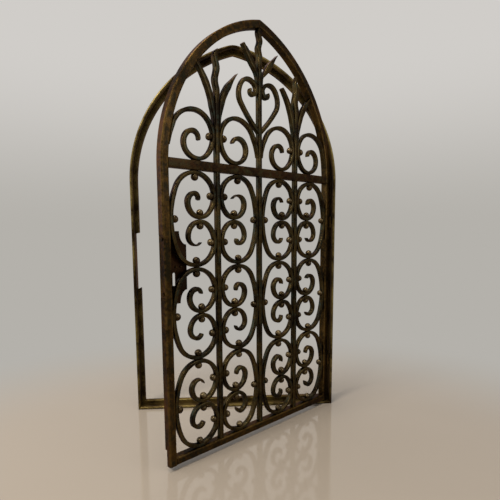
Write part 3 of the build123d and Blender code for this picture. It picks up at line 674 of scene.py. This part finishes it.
def scrollHalf(width, tipRadius, tipTurn):
    side = (width - strip["seat"] - halfStrip, 0)
    crown = (lower["crownX"], rowHeight / 2 - strip["seat"] / 2 - halfStrip)
    barTouch = (strip["seat"] + halfStrip, lower["barTouchY"])
    voluteTouch = (lower["voluteTouchX"], strip["seat"] / 2 + halfStrip)
    bends = bendsBetween(side, crown, 90, lower["shoulderTurn"], 90 - lower["shoulderTurn"])
    bends += quarterBend(crown, barTouch, 180)
    bends += quarterBend(barTouch, voluteTouch, 270)
    bends += [lower["volute"], lower["voluteTop"], (tipRadius, tipTurn)]
    return bentLine(side, 90, bends)


for row, rowMiddle in enumerate(rowMiddles):
    for number, (bar, side, width) in enumerate(columns):
        turn = lower["tipTurns"][(row + number) % len(lower["tipTurns"])]
        plain = (lower["tipRadius"], turn, lower["tipShare"], lower["taper"])
        tips = voluteTips.get((row + 1, number + 1), {"upper": plain, "lower": plain})
        upperRadius, upperTurn, upperShare, upperTaper = tips["upper"]
        lowerRadius, lowerTurn, lowerShare, lowerTaper = tips["lower"]
        below = scrollHalf(width, lowerRadius, lowerTurn)
        line = [(x, -y, math.pi - a) for x, y, a in below[:0:-1]] + scrollHalf(width, upperRadius, upperTurn)
        node = f"scroll_row{row + 1}_column{number + 1}"
        piece = stripPiece(node + "_forged", line, besideBar(bar, side, rowMiddle), strip["thick"],
                           (lowerShare, upperShare), (lowerTaper, upperTaper), 0, lower["swell"])
        install(piece, node, bronze["scroll_bronze"])
print("lower scrolls done")

# Standing scrolls above the transom. The outer two run on down the arch, drawn out thin.
standing = {
    "crownX": 30.0, "crownY": 62.0, "touchY": 31.0, "footX": 26.8, "reachX": 46.8, "reachY": 20.5,
    "topX": 32.8, "topY": 35.4, "tailY": 14.0, "shoulderTurn": 25, "tipShare": 0.7, "swell": (50, 0.12),
    "endLean": 15.0, "endTurn": 15, "endSlope": 32.15, "endRun": 27.0, "endSteps": 10,
    # radius and turn of each tip, from the free side to the hinge side
    "tips": [(8.5, 105), (11.5, 70), (8.5, 95), (7.5, 100)],
}


def standingLine(start, heading, firstTurn, crown, tip):
    barTouch = (strip["seat"] + halfStrip, standing["touchY"])
    foot = (standing["footX"], strip["seat"] + halfStrip)
    reach = (standing["reachX"], standing["reachY"])
    top = (standing["topX"], standing["topY"])
    bends = bendsBetween(start, crown, heading, firstTurn, 180 - heading - firstTurn)
    bends += quarterBend(crown, barTouch, 180)
    bends += quarterBend(barTouch, foot, 270)
    bends += quarterBend(foot, reach, 0)
    bends += quarterBend(reach, top, 90)
    return bentLine(start, heading, bends + [tip])


endRadius = insideRadius - strip["seat"] - halfStrip
lean = math.radians(standing["endLean"])


def onArch(angle):  # the middle of a strip that lies under the leaf's arch
    return (outerWidth - insideRadius + endRadius * math.cos(angle),
            window["spring"] - transomTop + endRadius * math.sin(angle))


outerStart = onArch(lean)
outerRise = (outerStart[0] - standing["crownX"]) * math.tan(math.radians(standing["endSlope"]))
outerCrown = (standing["crownX"], outerStart[1] + outerRise)
innerStart = (innerWidth - strip["seat"] - halfStrip, standing["tailY"])
innerCrown = (standing["crownX"], standing["crownY"] - halfStrip)
endRun = []
for i in range(standing["endSteps"]):
    left = (standing["endSteps"] - i) / standing["endSteps"]
    angle = lean - left * standing["endRun"] / endRadius
    endRun.append((*onArch(angle), math.pi / 2 + angle))
for number, (bar, side, width) in enumerate(columns):
    tip = standing["tips"][number]
    if width == outerWidth:
        line = standingLine(outerStart, 90 + standing["endLean"], standing["endTurn"], outerCrown, tip)
        line = endRun + line
    else:
        line = standingLine(innerStart, 90, standing["shoulderTurn"], innerCrown, tip)
    node = f"standing_scroll_{number + 1}"
    piece = stripPiece(node + "_forged", line, besideBar(bar, side, transomTop), strip["thick"],
                       (None, standing["tipShare"]), (0, lower["taper"]), 1, standing["swell"])
    install(piece, node, bronze["scroll_bronze"])

# Heart on the middle bar
heart = {
    "foot": (3.6, 51.5), "footRun": 7.0, "footSteps": 7, "heading": 42.0, "firstTurn": 12.0,
    "reach": (33.6, 92.0), "top": (16.5, 113.5), "neckY": 102.4, "curl": (9.6, 94.3),
    "tip": (4.4, 130), "tipShare": 0.6, "spacing": 1.2, "swell": (34, 0.15),
}
heartNeck = (strip["seat"] + halfStrip, heart["neckY"])
heartBends = bendsBetween(heart["foot"], heart["reach"], heart["heading"], heart["firstTurn"],
                          90 - heart["heading"] - heart["firstTurn"])
heartBends += quarterBend(heart["reach"], heart["top"], 90)
heartBends += quarterBend(heart["top"], heartNeck, 180)
heartBends += quarterBend(heartNeck, heart["curl"], 270)
heartBends += [heart["tip"]]
heartLean = math.radians(heart["heading"])
footRun = []
for i in range(heart["footSteps"]):
    run = heart["footRun"] * (heart["footSteps"] - i) / heart["footSteps"]
    footRun.append((heart["foot"][0] - run * math.cos(heartLean),
                    heart["foot"][1] - run * math.sin(heartLean), heartLean))
heartLine = footRun + bentLine(heart["foot"], heart["heading"], heartBends, heart["spacing"])
for side, node in ((-1, "heart_left"), (1, "heart_right")):
    piece = stripPiece(node + "_forged", heartLine, besideBar(leafMiddle, side, transomTop), strip["thick"],
                       (None, heart["tipShare"]), (0, lower["taper"]), 0, heart["swell"])
    install(piece, node, bronze["scroll_bronze"])
print("standing scrolls and heart done")

# Finials: a square prong and a pointed one at each bar's crotch
prongs = {
    "thick": 4.6, "firstTurn": 34.0, "secondTurn": 8.0, "rootSteps": 8, "swellPast": 1.15,
    "high": {"left": 59.0, "middle": 38.5, "right": 59.0},
    "root": {"left": 14.5, "middle": 7.5, "right": 14.5},
    "squareReach": 24.0, "squareTip": {"left": 1.1, "middle": 1.7, "right": 1.25}, "squareTaper": 6,
    "squareSwell": {"left": 0.6, "middle": 0.8, "right": 0.6},
    "pointedReach": 28.5, "pointedTip": 0.12, "pointedTaper": 25, "pointedSwell": 0.88,
}
prongStart = (strip["seat"] + prongs["thick"] / 2, 0)
for name, middle in barPlaces.items():
    high = prongs["high"][name]
    steps = prongs["rootSteps"]
    rootLine = [(prongStart[0], -prongs["root"][name] * (steps - i) / steps, math.pi / 2)
                for i in range(steps)]
    square = (-1, prongs["squareReach"], prongs["squareTip"][name], prongs["squareTaper"],
              prongs["squareSwell"][name])
    pointed = (1, prongs["pointedReach"], prongs["pointedTip"], prongs["pointedTaper"],
               prongs["pointedSwell"])
    halves = []
    for side, reach, tip, taper, broader in (square, pointed):
        bends = bendsBetween(prongStart, (prongStart[0] + reach, high), 90, -prongs["firstTurn"],
                             -prongs["secondTurn"])
        place = besideBar(middle, side, transomTop + blade["crotchRise"][name], True)
        halves.append(stripPiece(f"{name}_prong", rootLine + bentLine(prongStart, 90, bends), place,
                                 prongs["thick"], (None, tip), (0, taper), -1,
                                 (high * prongs["swellPast"], broader)))
    bpy.ops.object.select_all(action="DESELECT")
    for half in halves:
        half.select_set(True)
    bpy.context.view_layer.objects.active = halves[0]
    bpy.ops.object.join()
    halves[0].name = name + "_finial_forged"
    install(halves[0], name + "_finial", bronze["scroll_bronze"])
print("finials done")


# Ball heads, a little uneven as they were hammered
heads = {
    "radius": 4.7, "centre": 3.9, "rings": 14, "sides": 24, "sizes": (0.94, 1.03), "squash": (0.93, 1.0),
    "lean": 0.06, "lobes": 3, "lobe": 0.02, "lobeTurn": 40,
    "wearAndHighlight": 0.1, "wearCrown": 0.4, "highlightTop": 0.5, "wearFront": 0.25,
}


def ballHead(verts, faces, wearAndHighlight, base, axis, size):
    # a ball seated on a strip at base, with its axis along the rivet
    side = axis.orthogonal().normalized()
    other = axis.cross(side)
    start = len(verts)
    squash = rng.uniform(*heads["squash"])
    lean = rng.uniform(-heads["lean"], heads["lean"])
    centre = base + axis * heads["centre"] * mm
    for i in range(heads["rings"] + 1):
        polar = math.pi * i / heads["rings"]
        for j in range(heads["sides"]):
            turn = 2 * math.pi * j / heads["sides"]
            lobe = 1 + heads["lobe"] * math.sin(heads["lobes"] * turn + lean * heads["lobeTurn"])
            radial = size * math.sin(polar) * mm * lobe
            offset = side * math.cos(turn) * radial + other * math.sin(turn) * radial
            offset += axis * size * squash * math.cos(polar) * mm + side * lean * math.cos(polar) * size * mm
            verts.append(centre + offset)
            facing = offset.normalized()
            # wear on the crown and the front, and a painted highlight that makes the upward-facing top lighter
            wearAndHighlight.append(max(0.0, heads["wearAndHighlight"] + heads["wearCrown"] * facing.dot(axis)
                            + heads["highlightTop"] * facing.z + heads["wearFront"] * facing.dot(leafOut)))
    for i in range(heads["rings"]):
        for j in range(heads["sides"]):
            k = (j + 1) % heads["sides"]
            a = start + i * heads["sides"]
            b = a + heads["sides"]
            faces.append((a + j, a + k, b + k, b + j))


def headAt(bar, side, x, y, heading):
    turned = math.radians(heading if side > 0 else 180 - heading)
    axis = leafAcross * math.cos(turned) + up * math.sin(turned)
    return leafPoint(bar + side * (upright["wide"] / 2 + x), y, stripMiddle), axis


face = strip["seat"] + strip["thick"]
voluteFace = strip["seat"] / 2 + strip["thick"]
crownFace = rowHeight / 2 - strip["seat"] / 2 - strip["thick"]
rivetNodes = ("left_bar_rivets", "right_bar_rivets", "middle_bar_rivets", "stile_rivets",
              "volute_rivets", "joint_rivets", "rail_rivets", "transom_rivets", "arch_rivets")
rivets = {name: [] for name in rivetNodes}
for bar, side, width in columns:
    barGroup = "left_bar_rivets" if bar == leftBar else "right_bar_rivets"
    sideGroup = "middle_bar_rivets" if width == innerWidth else "stile_rivets"
    for row, middle in enumerate(rowMiddles):
        rivets[sideGroup].append(headAt(bar, side, width - face, middle, 180))
        for way in (-1, 1):
            rivets[barGroup].append(headAt(bar, side, face, middle + way * lower["barTouchY"], 0))
            volute = headAt(bar, side, lower["voluteTouchX"], middle + way * voluteFace, way * 90)
            rivets["volute_rivets"].append(volute)
            crownGroup = "joint_rivets"
            if way < 0 and row == 0:
                crownGroup = "rail_rivets"
            if way > 0 and row == rowCount - 1:
                crownGroup = "transom_rivets"
            crown = headAt(bar, side, lower["crownX"], middle + way * crownFace, -way * 90)
            rivets[crownGroup].append(crown)
    rivets["arch_rivets"].append(headAt(bar, side, face, transomTop + standing["touchY"], 0))

for node, places in rivets.items():
    verts, faces, wearAndHighlight = [], [], []
    for base, axis in places:
        ballHead(verts, faces, wearAndHighlight, base, axis, heads["radius"] * rng.uniform(*heads["sizes"]))
    install(makePiece(node + "_balls", verts, faces, wearAndHighlight), node, bronze["rivet_bronze"])
print("rivets done")


# Studio: a polished pale floor that fades into a pale backdrop behind the frame
studio = {
    "floor": "#968b7e", "floorGloss": 0.08, "floorRadius": 4.0, "floorSides": 96,
    "fadeCentre": (0.0, -0.3, 0.0), "fadeFrom": 0.38, "fadeTo": 0.8,
    "backdropTop": "#d0cdc9", "backdropLow": "#b4b1ab", "topFrom": 0.35,
    "below": 0.14, "belowFrom": -0.2, "overhead": 0.40, "overheadFrom": 0.9, "ambient": "#f6f4f0",
    "windowGlow": 0.3, "windowWay": (-0.62, -0.5, 0.6), "windowFrom": 0.35,
    "lampAim": (0, -0.05, 0.3),
}


def seenOrMirrored(tree):  # 1 for what the camera sees, straight or in a polished face
    path = addNode(tree, "ShaderNodeLightPath")
    return addNode(tree, "ShaderNodeMath",
                   {0: path.outputs["Is Camera Ray"], 1: path.outputs["Is Glossy Ray"]},
                   operation="MAXIMUM").outputs[0]


bpy.ops.mesh.primitive_circle_add(vertices=studio["floorSides"], radius=studio["floorRadius"],
                                  fill_type="NGON", location=(0, 0, 0))
floor = bpy.context.object
floor.name = "studio_floor"
floorMaterial = bpy.data.materials.new("polished_floor")
floorTree = emptyTree(floorMaterial)
spot = addNode(floorTree, "ShaderNodeTexCoord").outputs["Object"]
away = addNode(floorTree, "ShaderNodeVectorMath", {0: spot}, {1: studio["fadeCentre"]}, operation="DISTANCE")
fade = addNode(floorTree, "ShaderNodeMapRange", {"Value": away.outputs["Value"]},
               {"From Min": studio["fadeFrom"], "From Max": studio["fadeTo"]},
               interpolation_type="SMOOTHSTEP")
fadeSeen = addNode(floorTree, "ShaderNodeMath", {0: fade.outputs["Result"], 1: seenOrMirrored(floorTree)},
                   operation="MULTIPLY")
tile = addNode(floorTree, "ShaderNodeBsdfPrincipled",
               values={"Base Color": linear(studio["floor"]), "Roughness": studio["floorGloss"]})
haze = addNode(floorTree, "ShaderNodeEmission",
               values={"Color": linear(studio["backdropLow"]), "Strength": 1.0})
floorMix = addNode(floorTree, "ShaderNodeMixShader",
                   {0: fadeSeen.outputs[0], 1: tile.outputs[0], 2: haze.outputs[0]})
addNode(floorTree, "ShaderNodeOutputMaterial", {"Surface": floorMix.outputs[0]})
floor.data.materials.append(floorMaterial)

world = bpy.data.worlds.new("studio")
bpy.context.scene.world = world
worldTree = emptyTree(world)
direction = addNode(worldTree, "ShaderNodeTexCoord").outputs["Generated"]
height = addNode(worldTree, "ShaderNodeSeparateXYZ", {0: direction}).outputs["Z"]
rising = addNode(worldTree, "ShaderNodeMapRange", {"Value": height},
                 {"From Min": 0.0, "From Max": studio["topFrom"]}, interpolation_type="SMOOTHSTEP")
shade = addNode(worldTree, "ShaderNodeMix", {"Factor": rising.outputs["Result"]},
                {6: linear(studio["backdropLow"]), 7: linear(studio["backdropTop"])}, data_type="RGBA")
backdrop = addNode(worldTree, "ShaderNodeBackground", {"Color": shade.outputs[2]}, {"Strength": 1.0})
level = addNode(worldTree, "ShaderNodeMapRange", {"Value": height},
                {"From Min": studio["belowFrom"], "From Max": studio["overheadFrom"],
                 "To Min": studio["below"], "To Max": studio["overhead"]})
windowWay = Vector(studio["windowWay"]).normalized()
towards = addNode(worldTree, "ShaderNodeVectorMath", {0: direction}, {1: windowWay}, operation="DOT_PRODUCT")
glow = addNode(worldTree, "ShaderNodeMapRange", {"Value": towards.outputs["Value"]},
               {"From Min": studio["windowFrom"], "From Max": 1.0, "To Max": studio["windowGlow"]},
               interpolation_type="SMOOTHSTEP")
lit = addNode(worldTree, "ShaderNodeMath", {0: level.outputs["Result"], 1: glow.outputs["Result"]},
              operation="ADD")
ambient = addNode(worldTree, "ShaderNodeBackground", {"Strength": lit.outputs[0]},
                  {"Color": linear(studio["ambient"])})
mixed = addNode(worldTree, "ShaderNodeMixShader",
                {0: seenOrMirrored(worldTree), 1: ambient.outputs[0], 2: backdrop.outputs[0]})
addNode(worldTree, "ShaderNodeOutputWorld", {"Surface": mixed.outputs[0]})

lamps = {
    "window_light": {"at": (-1.1, -1.1, 1.6), "size": 0.7, "power": 38, "colour": "#fffaf2"},
    "side_window": {"at": (-1.9, 0.2, 0.9), "size": 1.3, "power": 9, "colour": "#eef3ff"},
    "room_fill": {"at": (1.6, -1.2, 0.9), "size": 0.9, "power": 7, "colour": "#eef3ff"},
    "wall_bounce": {"at": (-0.3, 1.2, 2.3), "size": 1.2, "power": 8, "colour": "#ffffff"},
    "ceiling_light": {"at": (-0.1, -0.35, 1.9), "size": 0.5, "power": 12, "colour": "#fff8ea"},
}
for name, lamp in lamps.items():
    light = bpy.data.lights.new(name, "AREA")
    light.shape = "SQUARE"
    light.size = lamp["size"]
    light.energy = lamp["power"]
    light.color = linear(lamp["colour"])[:3]
    holder = bpy.data.objects.new(name, light)
    holder.location = lamp["at"]
    aim = Vector(studio["lampAim"]) - Vector(lamp["at"])
    holder.rotation_euler = aim.to_track_quat("-Z", "Y").to_euler()
    bpy.context.scene.collection.objects.link(holder)

# Camera: where the photograph was taken from, in millimetres and radians, with its lens shifted a little
view = {"at": (-21.4, -702.8, 298.9), "turn": 0.06584, "down": 0.12444, "roll": -0.0056,
        "focalPixels": 427.0, "centreDrop": 31.9, "imagePixels": 500, "sensor": 36, "nearest": 0.01}
camera = bpy.data.cameras.new("camera")
camera.sensor_width = view["sensor"]
camera.lens = view["focalPixels"] / view["imagePixels"] * camera.sensor_width
camera.shift_y = view["centreDrop"] / view["imagePixels"]
camera.clip_start = view["nearest"]
cameraObject = bpy.data.objects.new("camera", camera)
forward = Vector((math.cos(view["down"]) * math.sin(view["turn"]),
                  math.cos(view["down"]) * math.cos(view["turn"]), -math.sin(view["down"])))
right = Vector((math.cos(view["turn"]), -math.sin(view["turn"]), 0))
upwards = right.cross(forward)
turned = Matrix((right, upwards, -forward)).transposed().to_4x4() @ Matrix.Rotation(view["roll"], 4, "Z")
cameraObject.matrix_world = Matrix.Translation(Vector(view["at"]) * mm) @ turned
bpy.context.scene.collection.objects.link(cameraObject)
bpy.context.scene.camera = cameraObject
bpy.context.scene.view_settings.view_transform = "Standard"
print("studio and camera done")
